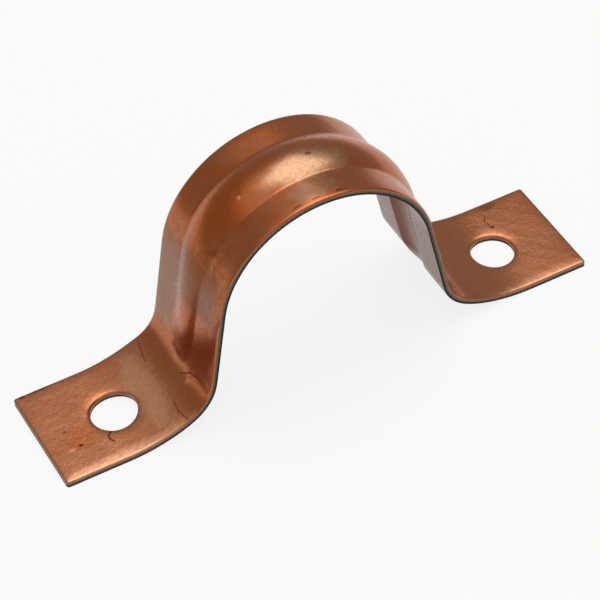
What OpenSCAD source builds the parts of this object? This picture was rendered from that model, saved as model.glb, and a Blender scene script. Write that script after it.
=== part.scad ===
// Two-hole pipe strap, stamped from one piece of copper-plated steel sheet.
// The strap stands on its two ears, with the pipe's axis along Y and the ears along X.
// Lengths are in millimetres and angles in degrees.

/* [Pipe and sheet] */
// Outside diameter of the pipe that the strap holds
pipe_d = 22.2; // [15:0.1:35]
// Clearance all round between the pipe and the saddle
pipe_gap = 0.05; // [0:0.05:0.5]
// Thickness of the sheet
sheet_t = 0.7; // [0.5:0.05:1]
// Width of the strap across its ears
strap_w = 12.7; // [11:0.1:20]

/* [Saddle and legs] */
// How far each leg leans outward from upright, in degrees
leg_lean = 10.6; // [6:0.2:16]
// Straight length of each leg
leg_l = 8.7; // [6:0.1:14]
// How far each long edge is drawn in over the saddle and legs
edge_draw = 0.13; // [0.05:0.01:0.3]
// Length along X over which a long edge comes back to full width
edge_draw_run = 4; // [2:0.5:6]

/* [Bead] */
// Width of the raised bead at its foot, over the saddle
bead_w = 5.5; // [4:0.1:7]
// Height of the bead above the side strips, over the saddle
bead_h = 0.72; // [0.5:0.02:0.9]
// How much steeper the bead runs than its leg, so that it fades out downward, in degrees
bead_fade = 1.5; // [0.5:0.1:3]

/* [Ears] */
// Radius of the bend from leg to ear, on its upper face
bend_r = 4.2; // [3:0.1:6]
// Radius of the easy curve between the bend and the flat of the ear, on its upper face
ease_r = 16; // [12:0.5:24]
// Angle that the easy curve turns through, in degrees
ease_turn = 25.6; // [15:0.2:32]
// Length of the flat at the end of each ear
ear_flat = 6.6; // [5.5:0.1:12]
// Radius of the ear's corners, seen from above
corner_r = 0.3; // [0.2:0.1:2]

/* [Screw holes] */
// Diameter of the two screw holes
hole_d = 4.5; // [4:0.1:5.5]
// Distance from the end of an ear to the middle of its hole
hole_from_end = 7.6; // [6.5:0.1:9]
// How far the punch sits off the middle of the strap, along X
punch_off_x = 0.25; // [0:0.05:0.5]
// How far the punch sits off the middle of the strap, towards its front edge
punch_off_y = 0.25; // [0:0.05:0.5]
// Width and depth of the rim that the punch draws down round each hole
rim_w = 0.3; // [0.1:0.05:0.4]

/* [Hidden] */
$fn = 128;

// Radius of the saddle's outer face, on the side strips
saddle_r = pipe_d / 2 + pipe_gap + sheet_t;
// Heading of the leg below level, which is also where the saddle ends, from the crown
leg_turn = 90 - leg_lean;

// Unit direction in the XZ plane of the face normal where the strip heads down by a degrees
function normal(a) = [sin(a), cos(a)];
// Unit direction of the strip itself there
function heading(a) = [cos(a), -sin(a)];

// Bend centre, ease centre and end of the ear, as seen from the pipe's centre
bend_from_pipe = (saddle_r + bend_r) * normal(leg_turn) + leg_l * heading(leg_turn);
ease_from_pipe = bend_from_pipe + (ease_r - bend_r) * normal(ease_turn);
pipe_z = sheet_t + ease_r - ease_from_pipe[1];
pipe_at = [0, pipe_z];
bend_at = pipe_at + bend_from_pipe;
ease_at = pipe_at + ease_from_pipe;
ear_end = ease_at[0] + ear_flat;

// The bead's section is part of a circle, and the groove under it runs parallel
bead_r = (bead_w * bead_w / 4 + bead_h * bead_h) / (2 * bead_h);
bead_turn = leg_turn + bead_fade;
bead_path_r = saddle_r + bead_h - bead_r;
bead_run = leg_l + bend_r + sheet_t;

// Room that the blocks below take beyond the strap, so that no two faces fall together
spare = 3;
top_z = pipe_z + saddle_r + bead_h + spare;

// Each hole's middle lies near the foot of the easy curve, where the ear has begun to rise
hole_x = ear_end - hole_from_end;
function rise_turn(x) = asin(max(0, ease_at[0] - x) / ease_r);
function upper_z(x) = ease_at[1] - ease_r * cos(rise_turn(x));

// Half of the region under one face of the sheet, at a depth below its upper face
module half_under(depth) {
    tangent = pipe_at + (saddle_r - depth) * normal(leg_turn);
    leg_end = tangent + leg_l * heading(leg_turn);
    far = ear_end + spare + depth;
    base = -spare - depth;
    difference() {
        polygon([
            [0, base], pipe_at, tangent, leg_end, bend_at, ease_at,
            [ease_at[0], sheet_t - depth], [far, sheet_t - depth], [far, base]
        ]);
        translate(bend_at) circle(r = bend_r + depth);
        translate(ease_at) intersection() {
            circle(r = ease_r + depth);
            polygon([
                [0, 0], -2 * ease_r * normal(ease_turn), [2 * ease_r, -2 * ease_r], [2 * ease_r, 0]
            ]);
        }
    }
}

// Everything under one face of the plain sheet, without the bead
module under_sheet(depth) {
    rotate([90, 0, 0])
        linear_extrude(strap_w + 2 * spare + 2 * depth, center = true)
            union() {
                translate(pipe_at) circle(r = saddle_r - depth);
                half_under(depth);
                mirror([1, 0]) half_under(depth);
            }
}

// The bead's tube: round the saddle, then straight down inside each leg
module under_bead(depth) {
    tube_r = bead_r - depth;
    translate([0, 0, pipe_z]) {
        rotate([90, 0, 0])
            rotate([0, 0, 90 - bead_turn])
                rotate_extrude(angle = 2 * bead_turn)
                    translate([bead_path_r, 0]) circle(r = tube_r);
        for (side = [-1, 1])
            rotate([0, side * bead_turn, 0])
                translate([0, 0, bead_path_r])
                    rotate([0, side * 90, 0])
                        cylinder(r = tube_r, h = bead_run);
    }
}

// The sheet formed over the saddle and out into both ears, with its bead and groove
module formed_sheet() {
    difference() {
        union() {
            under_sheet(0);
            under_bead(0);
        }
        under_sheet(sheet_t);
        under_bead(sheet_t);
    }
}

// One long edge's draw-in, as a wedge-ended slot seen from above
module edge_slot() {
    drawn_x = bend_at[0] - bend_r;
    full_x = drawn_x + edge_draw_run;
    polygon([
        [-full_x, -strap_w / 2], [-drawn_x, edge_draw - strap_w / 2],
        [drawn_x, edge_draw - strap_w / 2], [full_x, -strap_w / 2],
        [full_x, -strap_w / 2 - spare], [-full_x, -strap_w / 2 - spare]
    ]);
}

// One rounded corner's waste, seen from above
module corner_waste() {
    difference() {
        translate([-corner_r, -corner_r]) square(corner_r + spare);
        translate([-corner_r, -corner_r]) circle(r = corner_r);
    }
}

// The strap's outline seen from above
module outline() {
    difference() {
        square([2 * ear_end, strap_w], center = true);
        edge_slot();
        mirror([0, 1]) edge_slot();
        for (sx = [0, 1], sy = [0, 1])
            mirror([sx, 0]) mirror([0, sy])
                translate([ear_end, strap_w / 2]) corner_waste();
    }
}

// A punched hole through the ear on one side, with the rim that the punch drew down
module punched_hole(side) {
    x = side * hole_x + punch_off_x;
    translate([x, -punch_off_y, -spare]) cylinder(d = hole_d, h = 2 * spare + sheet_t);
    translate([x, -punch_off_y, upper_z(abs(x))])
        rotate([0, side * rise_turn(abs(x)), 0])
            translate([0, 0, -hole_d / 4])
                cylinder(r1 = hole_d / 4 + rim_w, r2 = 3 * hole_d / 4 + rim_w, h = hole_d / 2);
}

module strap() {
    color([0.72, 0.43, 0.27])
        difference() {
            intersection() {
                formed_sheet();
                translate([0, 0, -spare]) linear_extrude(top_z + spare) outline();
            }
            for (side = [-1, 1]) punched_hole(side);
        }
}

strap();
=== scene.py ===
import math

import bpy
import numpy as np
from mathutils import Matrix, Vector


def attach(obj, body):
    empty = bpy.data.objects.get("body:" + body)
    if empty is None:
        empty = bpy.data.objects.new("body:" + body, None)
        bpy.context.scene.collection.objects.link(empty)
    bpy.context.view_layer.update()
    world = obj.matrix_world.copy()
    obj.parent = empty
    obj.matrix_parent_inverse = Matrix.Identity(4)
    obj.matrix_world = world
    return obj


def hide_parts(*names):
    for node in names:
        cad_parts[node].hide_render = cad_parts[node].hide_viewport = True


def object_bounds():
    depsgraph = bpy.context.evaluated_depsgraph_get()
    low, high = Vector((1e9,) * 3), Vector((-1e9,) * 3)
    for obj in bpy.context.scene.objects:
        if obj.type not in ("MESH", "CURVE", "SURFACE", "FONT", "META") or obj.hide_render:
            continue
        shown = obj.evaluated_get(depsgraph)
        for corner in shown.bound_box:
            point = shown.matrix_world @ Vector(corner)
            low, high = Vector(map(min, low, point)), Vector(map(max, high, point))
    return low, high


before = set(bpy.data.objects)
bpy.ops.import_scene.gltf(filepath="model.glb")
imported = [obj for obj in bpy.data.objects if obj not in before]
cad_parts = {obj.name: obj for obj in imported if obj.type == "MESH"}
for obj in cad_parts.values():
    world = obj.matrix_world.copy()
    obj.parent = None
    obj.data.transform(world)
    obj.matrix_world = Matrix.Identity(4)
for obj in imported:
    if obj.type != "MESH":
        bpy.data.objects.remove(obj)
cad_low, cad_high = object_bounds()

# Sizes of the strap, in millimetres and radians, as the solid has them
MM = 0.001
SHEET = 0.7
SADDLE_R = 11.85
LEG_TURN = math.radians(79.4)
LEG_L = 8.7
BEND_R = 4.2
EASE_R = 16.0
EASE_TURN = math.radians(25.6)
EAR_FLAT = 6.6
HALF_W = 6.35
EDGE_DRAW = 0.13
CORNER_R = 0.3
BEAD_W = 5.5
BEAD_H = 0.72
HOLE_Y = -0.25
HOLES_AT = [(-21.225, 2.33), (21.725, 2.22)]

# The bead's section is part of a circle
BEAD_R = (BEAD_W ** 2 / 4 + BEAD_H ** 2) / (2 * BEAD_H)
CROWN_Z = cad_high.z / MM - BEAD_H

# Lengths along the outer face, from the crown
SADDLE_END = SADDLE_R * LEG_TURN
LEG_END = SADDLE_END + LEG_L
BEND_END = LEG_END + BEND_R * (LEG_TURN - EASE_TURN)
EASE_END = BEND_END + EASE_R * EASE_TURN
STRIP_END = EASE_END + EAR_FLAT

# Height of the bead over each half, as (length from the crown, height)
BEAD_NEAR = [
    (0, 0.72), (8.5, 0.72), (12.5, 0.60), (16, 0.42), (22, 0.34), (25, 0.22), (27.5, -0.05), (31, -0.8),
]
BEAD_FAR = [(0, 0.72), (16.4, 0.72), (25.1, 0.52), (27.8, -0.05), (31, -0.8)]
CREASE = 0.045

# Rounding that blanking and punching leave on the upper edges: a tight roll and a broad shallow one,
# each with its width and depth
EDGE_ROLL = [(0.26, 0.15), (1.3, 0.05)]
HOLE_ROLL = [(0.42, 0.24), (1.3, 0.07)]


# Shape of the strip
def make_profile():
    """Points and headings of the outer face at even steps of length, with the bends softened."""
    step = 0.02
    length = np.arange(0.0, STRIP_END + step, step)
    curvature = np.zeros_like(length)
    curvature[length < SADDLE_END] = 1 / SADDLE_R
    curvature[(length >= LEG_END) & (length < BEND_END)] = -1 / BEND_R
    curvature[(length >= BEND_END) & (length < EASE_END)] = -1 / EASE_R
    mirrored = np.concatenate([curvature[:0:-1], curvature])
    spread = np.arange(-1.2, 1.2 + step, step)
    bell = np.exp(-((spread / 0.4) ** 2) / 2)
    softened = np.convolve(mirrored, bell / bell.sum(), "same")[len(length) - 1:]
    heading = np.concatenate([[0.0], np.cumsum((softened[1:] + softened[:-1]) / 2 * step)])
    middle = (heading[1:] + heading[:-1]) / 2
    x = np.concatenate([[0.0], np.cumsum(np.cos(middle) * step)])
    z = CROWN_Z - np.concatenate([[0.0], np.cumsum(np.sin(middle) * step)])
    x *= (cad_high.x / MM) / x[-1]
    z += (SHEET - z[-1]) * length / length[-1]
    return length, x, z, heading


PROFILE = make_profile()


def along(s):
    """Outer face's x, z and heading at signed length s from the crown."""
    length, x, z, heading = PROFILE
    side = np.where(s < 0, -1.0, 1.0)
    a = np.abs(s)
    return side * np.interp(a, length, x), np.interp(a, length, z), side * np.interp(a, length, heading)


def length_at(x):
    """Signed length from the crown at which the outer face of an ear reaches x."""
    length, xs, _, _ = PROFILE
    return math.copysign(float(np.interp(abs(x), xs, length)), x)


HOLES = [(length_at(x), HOLE_Y, radius) for x, radius in HOLES_AT]


def half_width(s):
    """Half of the strip's width, which is drawn in over the saddle and legs."""
    x = np.abs(along(s)[0])
    share = np.clip((x - 13.2) / 4.0, 0, 1)
    return HALF_W - EDGE_DRAW * (1 - share * share * (3 - 2 * share))


def soft_max(a, b, k):
    return 0.5 * (a + b + np.sqrt((a - b) ** 2 + k * k))


def bead_height(s, y, depth):
    """How far the bead lifts the face at this depth in the sheet."""
    near = np.interp(-s, *zip(*BEAD_NEAR))
    far = np.interp(s, *zip(*BEAD_FAR))
    height = np.where(s < 0, near, far)
    radius = BEAD_R - depth
    lift = np.sqrt(np.maximum(radius ** 2 - y * y, 0.01)) - radius + height
    return soft_max(lift, 0.0, CREASE) - soft_max(-4.0, 0.0, CREASE)


def waves(s, y):
    """Slight unevenness of the formed sheet, in millimetres."""
    slow = 0.010 * np.sin(0.83 * s + 0.4 * y + 1.0) * np.sin(0.55 * y - 0.21 * s)
    quick = 0.004 * np.sin(2.3 * s + 1.1 * y) * np.sin(1.9 * y + 0.6 * s + 2.0)
    return slow + quick


def dent(s, y, at, half, depth):
    """A soft hollow centred at (s, y), with half widths half."""
    return -depth * np.exp(-(((s - at[0]) / half[0]) ** 2) - ((y - at[1]) / half[1]) ** 2)


def relief(s, y):
    """Unevenness and dents of the sheet."""
    lift = waves(s, y)
    lift = lift + dent(s, y, (-27.5, -2.6), (0.9, 0.8), 0.06)
    lift = lift + dent(s, y, (-6.1, -0.2), (0.35, 0.3), 0.03)
    return lift


def sheet_point(s, eta, depth):
    """Position in metres of the point at length s, width place eta and depth below the outer face."""
    x, z, heading = along(s)
    y = eta * half_width(s) / HALF_W
    lift = bead_height(s, y, depth) + relief(s, y) * np.clip(HALF_W + 0.6 - np.abs(eta), 0, 1) - depth
    return np.stack([x + lift * np.sin(heading), y, z + lift * np.cos(heading)], -1) * MM


def rolled(distance, rolls):
    """How far an upper edge is drawn down at this distance in from it."""
    (tight, steep), (broad, shallow) = rolls
    near = np.clip(1 - distance / tight, 0, 1)
    wide = np.clip(1 - distance / broad, 0, 1)
    return steep * (1 - np.sqrt(1 - near ** 2)) + shallow * wide ** 2


# The mesh
EDGE_STEPS = [0.0, 0.008, 0.025, 0.05, 0.085, 0.13, 0.18, 0.26, 0.38]


def runs(stops, step_of):
    """Places from stop to stop, evenly spaced by each run's own step."""
    places = [stops[0]]
    for start, end, step in zip(stops, stops[1:], step_of):
        count = max(1, round((end - start) / step))
        places += [start + (end - start) * i / count for i in range(1, count + 1)]
    return places


def with_edges(places, end):
    """Adds the close steps near both ends, which lie at -end and end."""
    inner = [p for p in places if abs(p) < end - EDGE_STEPS[-1] - 0.05]
    return np.array([d - end for d in EDGE_STEPS] + inner + [end - d for d in reversed(EDGE_STEPS)])


def round_corner(s, eta):
    """Moves the places near the ears' corners onto rounded ones; gives also the distance from the edge."""
    from_end = STRIP_END - np.abs(s)
    from_side = HALF_W - np.abs(eta)
    u = np.clip(CORNER_R - from_end, 0, None)
    v = np.clip(CORNER_R - from_side, 0, None)
    reach = np.maximum(u, v)
    size = np.maximum(np.hypot(u, v), 1e-9)
    inside = (u > 0) & (v > 0)
    new_s = np.where(inside, np.sign(s) * (STRIP_END - CORNER_R + reach * u / size), s)
    new_eta = np.where(inside, np.sign(eta) * (HALF_W - CORNER_R + reach * v / size), eta)
    distance = np.where(inside, CORNER_R - reach, np.minimum(from_end, from_side))
    return new_s, new_eta, distance


def build_strap_mesh():
    """One closed mesh: upper and lower skins, sheared walls round the outline and round both holes."""
    s_places = with_edges(runs([-43, -30.4, -28.6, 43], [0.21, 0.12, 0.21]), STRIP_END)
    eta_stops = [-6.4, -3.0, -2.5, -1.7, 1.7, 2.5, 3.0, 6.4]
    eta_places = with_edges(runs(eta_stops, [0.23, 0.06, 0.12, 0.24, 0.12, 0.06, 0.23]), HALF_W)
    n_s, n_eta = len(s_places), len(eta_places)
    s, eta = (a.ravel().tolist() for a in np.meshgrid(s_places, eta_places, indexing="ij"))
    node = lambda i, j: i * n_eta + j

    # Quads of the skin, and a ring of quads round each hole
    quads = []
    blocked = np.zeros((n_s - 1, n_eta - 1), bool)
    hole_loops = []
    reach = 3.7
    for hole_s, hole_y, hole_r in HOLES:
        i0, i1 = (int(np.argmin(np.abs(s_places - hole_s - d))) for d in (-reach, reach))
        j0, j1 = (int(np.argmin(np.abs(eta_places - hole_y - d))) for d in (-reach, reach))
        blocked[i0:i1, j0:j1] = True
        border = [node(i, j0) for i in range(i0, i1)] + [node(i1, j) for j in range(j0, j1)]
        border += [node(i, j1) for i in range(i1, i0, -1)] + [node(i0, j) for j in range(j1, j0, -1)]
        rings = []
        near_steps = [0.0, 0.012, 0.04, 0.08, 0.14, 0.21, 0.30, 0.42, 0.58]
        outer_rings = 7
        for k in range(len(near_steps) + outer_rings - 1):
            ring = []
            for b in border:
                ds, dy = s[b] - hole_s, eta[b] - hole_y
                full = math.hypot(ds, dy)
                if k < len(near_steps):
                    r = hole_r + near_steps[k]
                else:
                    share = (k - len(near_steps) + 1) / outer_rings
                    start = hole_r + near_steps[-1]
                    r = start + (full - start) * share
                ring.append(len(s))
                s.append(hole_s + ds / full * r)
                eta.append(hole_y + dy / full * r)
            rings.append(ring)
        rings.append(border)
        for inner, outer in zip(rings, rings[1:]):
            for m in range(len(border)):
                n = (m + 1) % len(border)
                quads.append((inner[m], outer[m], outer[n], inner[n]))
        hole_loops.append(rings[0][::-1])
    for i in range(n_s - 1):
        for j in range(n_eta - 1):
            if not blocked[i, j]:
                quads.append((node(i, j), node(i + 1, j), node(i + 1, j + 1), node(i, j + 1)))

    s, eta = np.array(s), np.array(eta)
    s, eta, from_edge = round_corner(s, eta)
    drop = rolled(from_edge, EDGE_ROLL)
    for hole_s, hole_y, hole_r in HOLES:
        drop = np.maximum(drop, rolled(np.hypot(s - hole_s, eta - hole_y) - hole_r, HOLE_ROLL))

    # Upper and lower skins share one layout
    count = len(s)
    points = [sheet_point(s, eta, drop)]
    places = [np.stack([s, eta, np.zeros(count)], -1)]
    points.append(sheet_point(s, eta, SHEET))
    places.append(np.stack([s, eta, np.full(count, SHEET)], -1))
    faces = list(quads) + [tuple(v + count for v in reversed(q)) for q in quads]
    kinds = [0] * len(faces)

    # Sheared walls, with the lower part torn back a little
    outline = [node(i, 0) for i in range(n_s - 1)] + [node(n_s - 1, j) for j in range(n_eta - 1)]
    outline += [node(i, n_eta - 1) for i in range(n_s - 1, 0, -1)] + [node(0, j) for j in range(n_eta - 1, 0, -1)]
    total = 2 * count
    for loop, rolls in [(outline, EDGE_ROLL)] + [(h, HOLE_ROLL) for h in hole_loops]:
        loop = np.array(loop)
        start = sum(depth for _, depth in rolls)
        ls, le = s[loop], eta[loop]
        ahead_s, ahead_e = np.roll(ls, -1) - np.roll(ls, 1), np.roll(le, -1) - np.roll(le, 1)
        size = np.hypot(ahead_s, ahead_e)
        out_s, out_e = ahead_e / size, -ahead_s / size
        previous = loop
        rows = [0.12, 0.30, 0.42, 0.58, 0.74, 0.90]
        torn = [0.0, 0.0, 0.006, 0.022, 0.03, 0.02]
        for share, back in zip(rows, torn):
            depth = start + (SHEET - start) * share
            rough = back * (1 + 0.5 * np.sin(ls * 9.1 + le * 7.3 + 20 * share))
            row_s, row_e = ls - out_s * rough, le - out_e * rough
            points.append(sheet_point(row_s, row_e, np.full(len(loop), depth)))
            places.append(np.stack([row_s, row_e, np.full(len(loop), depth)], -1))
            row = np.arange(total, total + len(loop))
            total += len(loop)
            faces += wall(previous, row)
            kinds += [1] * len(loop)
            previous = row
        faces += wall(previous, loop + count)
        kinds += [1] * len(loop)

    mesh = bpy.data.meshes.new("strap_sheet")
    mesh.from_pydata(np.concatenate(points).tolist(), [], [tuple(int(v) for v in f) for f in faces])
    mesh.polygons.foreach_set("material_index", kinds)
    mesh.polygons.foreach_set("use_smooth", [True] * len(faces))
    strip = mesh.attributes.new("strip", "FLOAT_VECTOR", "POINT")
    strip.data.foreach_set("vector", np.concatenate(places).astype(np.float32).ravel())
    mesh.set_sharp_from_angle(angle=math.radians(50))
    mesh.update()
    return mesh


def wall(upper, lower):
    """Quads between two rows of one closed loop."""
    return list(zip(upper, lower, np.roll(lower, -1), np.roll(upper, -1)))


# Materials
class Shader:
    """One material's nodes. A value is a number, a tuple or another node's output."""

    def __init__(self, name):
        self.material = bpy.data.materials.new(name)
        self.material.use_nodes = True
        self.tree = self.material.node_tree
        self.tree.nodes.clear()

    def add(self, kind, inputs=None, **settings):
        made = self.tree.nodes.new(kind)
        for key, value in settings.items():
            setattr(made, key, value)
        for key, value in (inputs or {}).items():
            self.put(made.inputs[key], value)
        return made

    def put(self, socket, value):
        if isinstance(value, bpy.types.NodeSocket):
            self.tree.links.new(value, socket)
        else:
            socket.default_value = value

    def math(self, operation, a, b=0.0, clamp=False):
        made = self.add("ShaderNodeMath", {0: a, 1: b}, operation=operation, use_clamp=clamp)
        return made.outputs[0]

    def vector_math(self, operation, a, b=(0.0, 0.0, 0.0)):
        return self.add("ShaderNodeVectorMath", {0: a, 1: b}, operation=operation)

    def mix(self, factor, a, b, blend="MIX"):
        made = self.add("ShaderNodeMix", data_type="RGBA", blend_type=blend)
        for place, value in ((0, factor), (6, a), (7, b)):
            self.put(made.inputs[place], value)
        return made.outputs[2]

    def noise(self, vector, scale, detail=3.0, roughness=0.55, distortion=0.0):
        values = {
            "Vector": vector, "Scale": scale, "Detail": detail,
            "Roughness": roughness, "Distortion": distortion,
        }
        return self.add("ShaderNodeTexNoise", values).outputs[0]

    def smooth(self, value, low, high, to_low=0.0, to_high=1.0):
        values = {0: value, 1: low, 2: high, 3: to_low, 4: to_high}
        return self.add("ShaderNodeMapRange", values, interpolation_type="SMOOTHSTEP").outputs[0]

    def stretch(self, vector, scale):
        return self.vector_math("MULTIPLY", vector, scale).outputs[0]

    def blob(self, vector, at, half, ragged=None):
        """1 inside a soft oval at a place of the strip and 0 outside; ragged frays its edge."""
        away = self.vector_math("SUBTRACT", vector, (at[0], at[1], 0.0)).outputs[0]
        scaled = self.stretch(away, (1 / half[0], 1 / half[1], 0.0))
        distance = self.vector_math("LENGTH", scaled).outputs["Value"]
        if ragged is not None:
            distance = self.math("ADD", distance, ragged)
        return self.smooth(distance, 1.25, 0.55)

    def stroke(self, vector, start, end, width):
        """1 on a thin line from start to end, fading to 0 at its width."""
        line = (end[0] - start[0], end[1] - start[1], 0.0)
        square = line[0] ** 2 + line[1] ** 2
        away = self.vector_math("SUBTRACT", vector, (start[0], start[1], 0.0)).outputs[0]
        flat = self.stretch(away, (1.0, 1.0, 0.0))
        share = self.math("DIVIDE", self.vector_math("DOT_PRODUCT", flat, line).outputs["Value"], square, clamp=True)
        nearest = self.add("ShaderNodeVectorMath", {0: line, "Scale": share}, operation="SCALE").outputs[0]
        distance = self.vector_math("DISTANCE", flat, nearest).outputs["Value"]
        return self.smooth(distance, width, width * 0.25)

    def surface(self, **values):
        """The Principled shader and the output."""
        shader = self.add("ShaderNodeBsdfPrincipled")
        for key, value in values.items():
            self.put(shader.inputs[key.replace("_", " ")], value)
        out = self.add("ShaderNodeOutputMaterial")
        self.tree.links.new(shader.outputs[0], out.inputs[0])
        return self.material


# Stains, wear and painted light, placed on the flattened strip: length from the crown, and width towards the back.
# Each zone and spot has a middle, half sizes, a tone and a strength.
ZONES = [
    # The first three zones paint highlights: on the near bend and along the front edges of both ears.
    ((-31.2, 0.0), (1.6, 5.6), "rubbed", 0.55),
    ((-36.5, -6.0), (7.5, 0.8), "rubbed", 0.6),
    ((38.0, -6.1), (6.0, 0.6), "rubbed", 0.4),
    ((-39.3, -1.9), (2.0, 1.6), "amber", 0.4),
    # The dark zone on the near leg, the amber zones on the near leg and on both sides of the saddle, and the grey
    # zone on the near leg's back paint dark, saturated and grey reflections.
    ((-16.0, -1.5), (4.8, 5.2), "leg", 0.95),
    ((-22.8, -0.5), (3.6, 2.6), "amber", 0.6),
    ((-22.5, -4.2), (3.4, 3.0), "amber", 0.9),
    ((-19.5, 4.6), (6.5, 2.9), "bloom", 0.9),
    ((-8.5, 0.3), (4.5, 3.4), "amber", 0.8),
    ((8.5, 0.3), (2.6, 2.4), "amber", 0.35),
    # The pale zones paint the highlight on the crown's bead and front strip.
    ((0.5, -1.5), (4.6, 1.9), "pale", 0.85),
    ((-0.3, -4.5), (2.6, 1.3), "pale", 0.6),
]
SPOTS = [
    ((-39.6, -2.6), (0.28, 0.24), "mark", 0.8),
    ((-40.6, -2.8), (0.42, 0.22), "rubbed", 0.8),
    ((-40.3, -0.3), (0.2, 0.16), "dark_red", 0.8),
    ((-42.0, 6.1), (0.3, 0.2), "mark", 0.8),
    ((-39.9, 6.15), (1.3, 0.16), "dark_red", 0.8),
    # This bright spot paints the highlight in the dent at this place.
    ((-27.4, -2.7), (0.35, 0.3), "rubbed", 0.7),
    ((-25.95, 0.8), (0.4, 1.1), "dark_red", 0.8),
    ((-6.2, -1.0), (0.22, 0.2), "rubbed", 0.9),
    ((1.4, -0.5), (0.4, 0.2), "dark_red", 0.8),
    ((-2.5, -5.75), (0.6, 0.1), "mark", 0.8),
    ((-0.5, -5.8), (0.5, 0.1), "mark", 0.8),
    ((2.0, -5.8), (0.5, 0.1), "mark", 0.8),
    ((37.3, 2.8), (0.2, 0.2), "mark", 0.7),
    ((38.4, 5.6), (1.1, 0.5), "dark_red", 0.45),
]
# Each stroke has its two ends, a width, a tone and a strength.
STROKES = [
    ((-36.3, -2.4), (-36.8, -2.9), 0.14, "mark", 0.8),
    ((-36.8, -2.9), (-36.8, -3.3), 0.14, "mark", 0.8),
    ((-36.8, -3.3), (-36.6, -3.8), 0.14, "mark", 0.8),
    ((-29.65, -3.3), (-29.8, -4.6), 0.12, "dark_red", 0.6),
    ((-29.8, -4.6), (-29.5, -6.2), 0.12, "dark_red", 0.6),
    ((-29.7, 3.0), (-29.2, 5.4), 0.12, "dark_red", 0.6),
    ((-27.4, -1.3), (-26.5, -2.5), 0.14, "dark_red", 0.8),
    ((-26.5, -2.5), (-25.9, -4.7), 0.14, "dark_red", 0.8),
    ((-19.5, 2.9), (-18.6, 1.9), 0.12, "rubbed", 0.35),
    ((37.5, 4.7), (37.0, 3.9), 0.10, "mark", 0.6),
    ((37.0, 3.9), (37.3, 2.7), 0.10, "mark", 0.8),
]


def tones(**colours):
    """Colours as four numbers each."""
    return {name: (*rgb, 1.0) for name, rgb in colours.items()}


TONE = tones(
    ear=(0.46, 0.180, 0.092),
    # The saddle and legs are redder than the ears, partly tarnish and partly painted dark reflection.
    saddle=(0.44, 0.142, 0.058),
    # Amber: random tarnish in the cloud and a stain on the near ear, and painted saturated reflection in the zones
    # on the near leg and the saddle's sides.
    amber=(0.44, 0.105, 0.020),
    # Painted dark reflection on the near leg.
    leg=(0.21, 0.067, 0.024),
    # Painted grey reflection on the near leg's back.
    bloom=(0.225, 0.110, 0.060),
    # Painted highlight on the crown.
    pale=(0.40, 0.250, 0.150),
    # Lighter copper: wear in the random grain and small spots, and painted highlight in the zones along the front
    # edges, on the near bend and at a dent.
    rubbed=(0.64, 0.340, 0.205),
    dark_red=(0.16, 0.035, 0.014),
    mark=(0.060, 0.020, 0.010),
    # Painted shade on the inner face.
    inside=(0.14, 0.050, 0.025),
)


def copper_plate():
    """Satin copper plating, mottled and lightly tarnished, with the stains and scratches of this strap, and painted
    highlights, reflections and shade in placed zones.
    """
    m = Shader("copper_plate")
    strip = m.add("ShaderNodeAttribute", attribute_name="strip").outputs["Vector"]
    place = m.add("ShaderNodeSeparateXYZ", {0: strip}).outputs
    cloud = m.noise(strip, 0.30, 4.0, 0.55, 0.5)
    patch = m.noise(strip, 0.9, 4.0, 0.6, 0.8)
    grain = m.noise(strip, 3.0, 4.0, 0.65)
    pebble = m.noise(strip, 1.7, 2.0, 0.5)
    fine = m.noise(strip, 11.0, 3.0, 0.6)
    fray = m.math("MULTIPLY", m.math("SUBTRACT", patch, 0.5), 1.3)

    # Tarnish and painted reflection: ears lighter than the redder saddle and legs, a random amber cloud over saddle
    # and legs, and placed zones that paint highlights and reflections
    away = m.math("ABSOLUTE", place[0])
    on_ear = m.smooth(away, 26.5, 31.0)
    colour = m.mix(on_ear, TONE["saddle"], TONE["ear"])
    amber = m.math("MULTIPLY", m.smooth(cloud, 0.42, 0.62), m.smooth(on_ear, 0.0, 1.0, 0.5, 0.15))
    colour = m.mix(amber, colour, TONE["amber"])
    for at, half, tone, share in ZONES:
        colour = m.mix(m.math("MULTIPLY", m.blob(strip, at, half, fray), share), colour, TONE[tone])
    colour = m.mix(m.smooth(grain, 0.50, 0.78, 0.0, 0.30), colour, TONE["dark_red"])
    colour = m.mix(m.smooth(grain, 0.50, 0.25, 0.0, 0.12), colour, TONE["rubbed"])
    for at, half, tone, share in SPOTS:
        colour = m.mix(m.math("MULTIPLY", m.blob(strip, at, half, fray), share), colour, TONE[tone])
    scratched = None
    for start, end, width, tone, share in STROKES:
        mask = m.math("MULTIPLY", m.stroke(strip, start, end, width), share)
        colour = m.mix(mask, colour, TONE[tone])
        scratched = mask if scratched is None else m.math("MAXIMUM", scratched, mask)

    # The inner face is painted darker as shade, with streaks down the legs
    streaks = m.noise(m.stretch(strip, (0.35, 2.6, 0.0)), 1.0, 4.0, 0.6)
    inner = m.mix(m.smooth(streaks, 0.40, 0.70), TONE["inside"], TONE["dark_red"])
    colour = m.mix(m.smooth(place[2], 0.45, 0.55), colour, inner)

    roughness = m.smooth(grain, 0.3, 0.75, 0.20, 0.34)
    height = m.math("MULTIPLY", pebble, m.smooth(on_ear, 0.0, 1.0, 0.12, 1.0))
    height = m.math("ADD", height, m.math("MULTIPLY", grain, 0.25))
    height = m.math("ADD", height, m.math("MULTIPLY", fine, 0.14))
    height = m.math("SUBTRACT", height, m.math("MULTIPLY", scratched, 0.5))
    bump = m.add("ShaderNodeBump", {"Strength": 0.45, "Distance": 0.00004, "Height": height})
    return m.surface(Base_Color=colour, Metallic=1.0, Roughness=roughness, Normal=bump.outputs[0])


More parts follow.
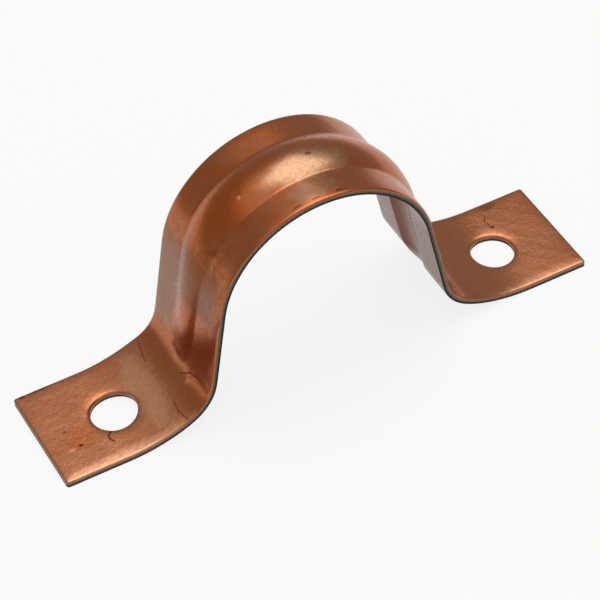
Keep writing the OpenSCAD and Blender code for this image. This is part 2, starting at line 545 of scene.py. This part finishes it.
def sheared_steel():
    """Bare steel of the cut edges: a smooth sheared band above, a dark torn band below."""
    m = Shader("sheared_steel")
    strip = m.add("ShaderNodeAttribute", attribute_name="strip").outputs["Vector"]
    depth = m.add("ShaderNodeSeparateXYZ", {0: strip}).outputs[2]
    streaks = m.noise(m.stretch(strip, (7.0, 7.0, 0.8)), 1.0, 3.0, 0.6)
    wobble = m.math("MULTIPLY", m.math("SUBTRACT", streaks, 0.5), 0.22)
    level = m.math("ADD", depth, wobble)
    smeared = m.mix(streaks, (0.24, 0.150, 0.105, 1.0), (0.15, 0.105, 0.080, 1.0))
    shear = m.mix(streaks, (0.125, 0.115, 0.095, 1.0), (0.085, 0.078, 0.064, 1.0))
    colour = m.mix(m.smooth(level, 0.24, 0.34), smeared, shear)
    torn = m.smooth(level, 0.42, 0.52)
    colour = m.mix(torn, colour, (0.045, 0.038, 0.032, 1.0))
    roughness = m.smooth(torn, 0.0, 1.0, 0.36, 0.65)
    bump = m.add("ShaderNodeBump", {"Strength": 0.5, "Distance": 0.00003, "Height": streaks})
    return m.surface(Base_Color=colour, Metallic=0.9, Roughness=roughness, Normal=bump.outputs[0])


def pale_floor():
    """White floor that keeps the strap's shadow."""
    m = Shader("pale_floor")
    diffuse = m.add("ShaderNodeBsdfDiffuse", {"Color": (0.88, 0.88, 0.88, 1.0)})
    glow = m.add("ShaderNodeEmission", {"Color": (1.0, 1.0, 1.0, 1.0), "Strength": 1.0})
    path = m.add("ShaderNodeLightPath")
    seen = m.math("ADD", path.outputs["Is Camera Ray"], path.outputs["Is Glossy Ray"], clamp=True)
    seen = m.math("ADD", seen, path.outputs["Is Transmission Ray"], clamp=True)
    share = m.math("MULTIPLY", seen, 0.84)
    both = m.add("ShaderNodeMixShader", {0: share, 1: diffuse.outputs[0], 2: glow.outputs[0]})
    out = m.add("ShaderNodeOutputMaterial")
    m.tree.links.new(both.outputs[0], out.inputs[0])
    return m.material


# Build the piece
strap = bpy.data.objects.new("strap_sheet", build_strap_mesh())
bpy.context.scene.collection.objects.link(strap)
strap.data.materials.append(copper_plate())
strap.data.materials.append(sheared_steel())
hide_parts("strap")
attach(strap, "root")


# Stage, light and camera
def make_floor():
    """Wide plain floor just under the ears."""
    half = 3.0
    gap = 0.00002
    mesh = bpy.data.meshes.new("floor")
    corners = [(-half, -half, -gap), (half, -half, -gap), (half, half, -gap), (-half, half, -gap)]
    mesh.from_pydata(corners, [], [(0, 1, 2, 3)])
    floor = bpy.data.objects.new("floor", mesh)
    floor.data.materials.append(pale_floor())
    bpy.context.scene.collection.objects.link(floor)


def direction_from(azimuth, elevation):
    """Unit vector from the strap towards this azimuth and elevation, in radians."""
    level = math.cos(elevation)
    return Vector((math.sin(azimuth) * level, -math.cos(azimuth) * level, math.sin(elevation)))


def softbox(name, azimuth, elevation, distance, width, height, radiance, colour=(1.0, 1.0, 1.0)):
    """Area lamp aimed at the strap, from this direction, with this radiance."""
    lamp = bpy.data.lights.new(name, "AREA")
    lamp.shape = "RECTANGLE"
    lamp.size = width
    lamp.size_y = height
    lamp.energy = radiance * math.pi * width * height
    lamp.color = colour
    holder = bpy.data.objects.new(name, lamp)
    back = direction_from(math.radians(azimuth), math.radians(elevation))
    holder.location = Vector((0, 0, 0.01)) + back * distance
    holder.rotation_mode = "QUATERNION"
    holder.rotation_quaternion = (-back).to_track_quat("-Z", "Y")
    bpy.context.scene.collection.objects.link(holder)
    return holder


def make_world(colour, level, dome):
    """Surroundings at one level, rising to a brighter soft dome overhead."""
    world = bpy.data.worlds.new("studio")
    world.use_nodes = True
    tree = world.node_tree
    background = tree.nodes["Background"]
    background.inputs[0].default_value = (*colour, 1.0)
    direction = tree.nodes.new("ShaderNodeTexCoord").outputs["Generated"]
    split = tree.nodes.new("ShaderNodeSeparateXYZ")
    tree.links.new(direction, split.inputs[0])
    rise = tree.nodes.new("ShaderNodeMapRange")
    rise.interpolation_type = "SMOOTHSTEP"
    low_edge, high_edge = math.sin(math.radians(38)), math.sin(math.radians(62))
    for place, value in ((1, low_edge), (2, high_edge), (3, level), (4, level + dome)):
        rise.inputs[place].default_value = value
    tree.links.new(split.outputs[2], rise.inputs[0])
    tree.links.new(rise.outputs[0], background.inputs[1])
    bpy.context.scene.world = world


def make_camera():
    """Camera at the photograph's place: focal length and distance follow from its perspective."""
    azimuth, elevation, roll = (math.radians(v) for v in (-25.214, 45.370, -4.203))
    target = Vector((1.184, 3.006, 1.524)) * MM
    distance = 273.13 * MM
    focal_px, frame_px = 2720.6, 600
    back = direction_from(azimuth, elevation)
    level = Vector((math.cos(azimuth), math.sin(azimuth), 0))
    upright = back.cross(level)
    right = math.cos(roll) * level + math.sin(roll) * upright
    up = math.cos(roll) * upright - math.sin(roll) * level
    data = bpy.data.cameras.new("camera")
    data.sensor_width = 36.0
    data.lens = data.sensor_width * focal_px / frame_px
    data.clip_start = 0.01
    camera = bpy.data.objects.new("camera", data)
    turn = Matrix((right, up, back)).transposed().to_4x4()
    camera.matrix_world = Matrix.Translation(target + back * distance) @ turn
    bpy.context.scene.collection.objects.link(camera)
    bpy.context.scene.camera = camera


make_floor()
make_world((1.0, 0.95, 0.90), 0.40, 0.5)
softbox("overhead_softbox", 128, 73, 0.6, 0.46, 0.46, 1.7)
make_camera()
bpy.context.scene.view_settings.view_transform = "Standard"
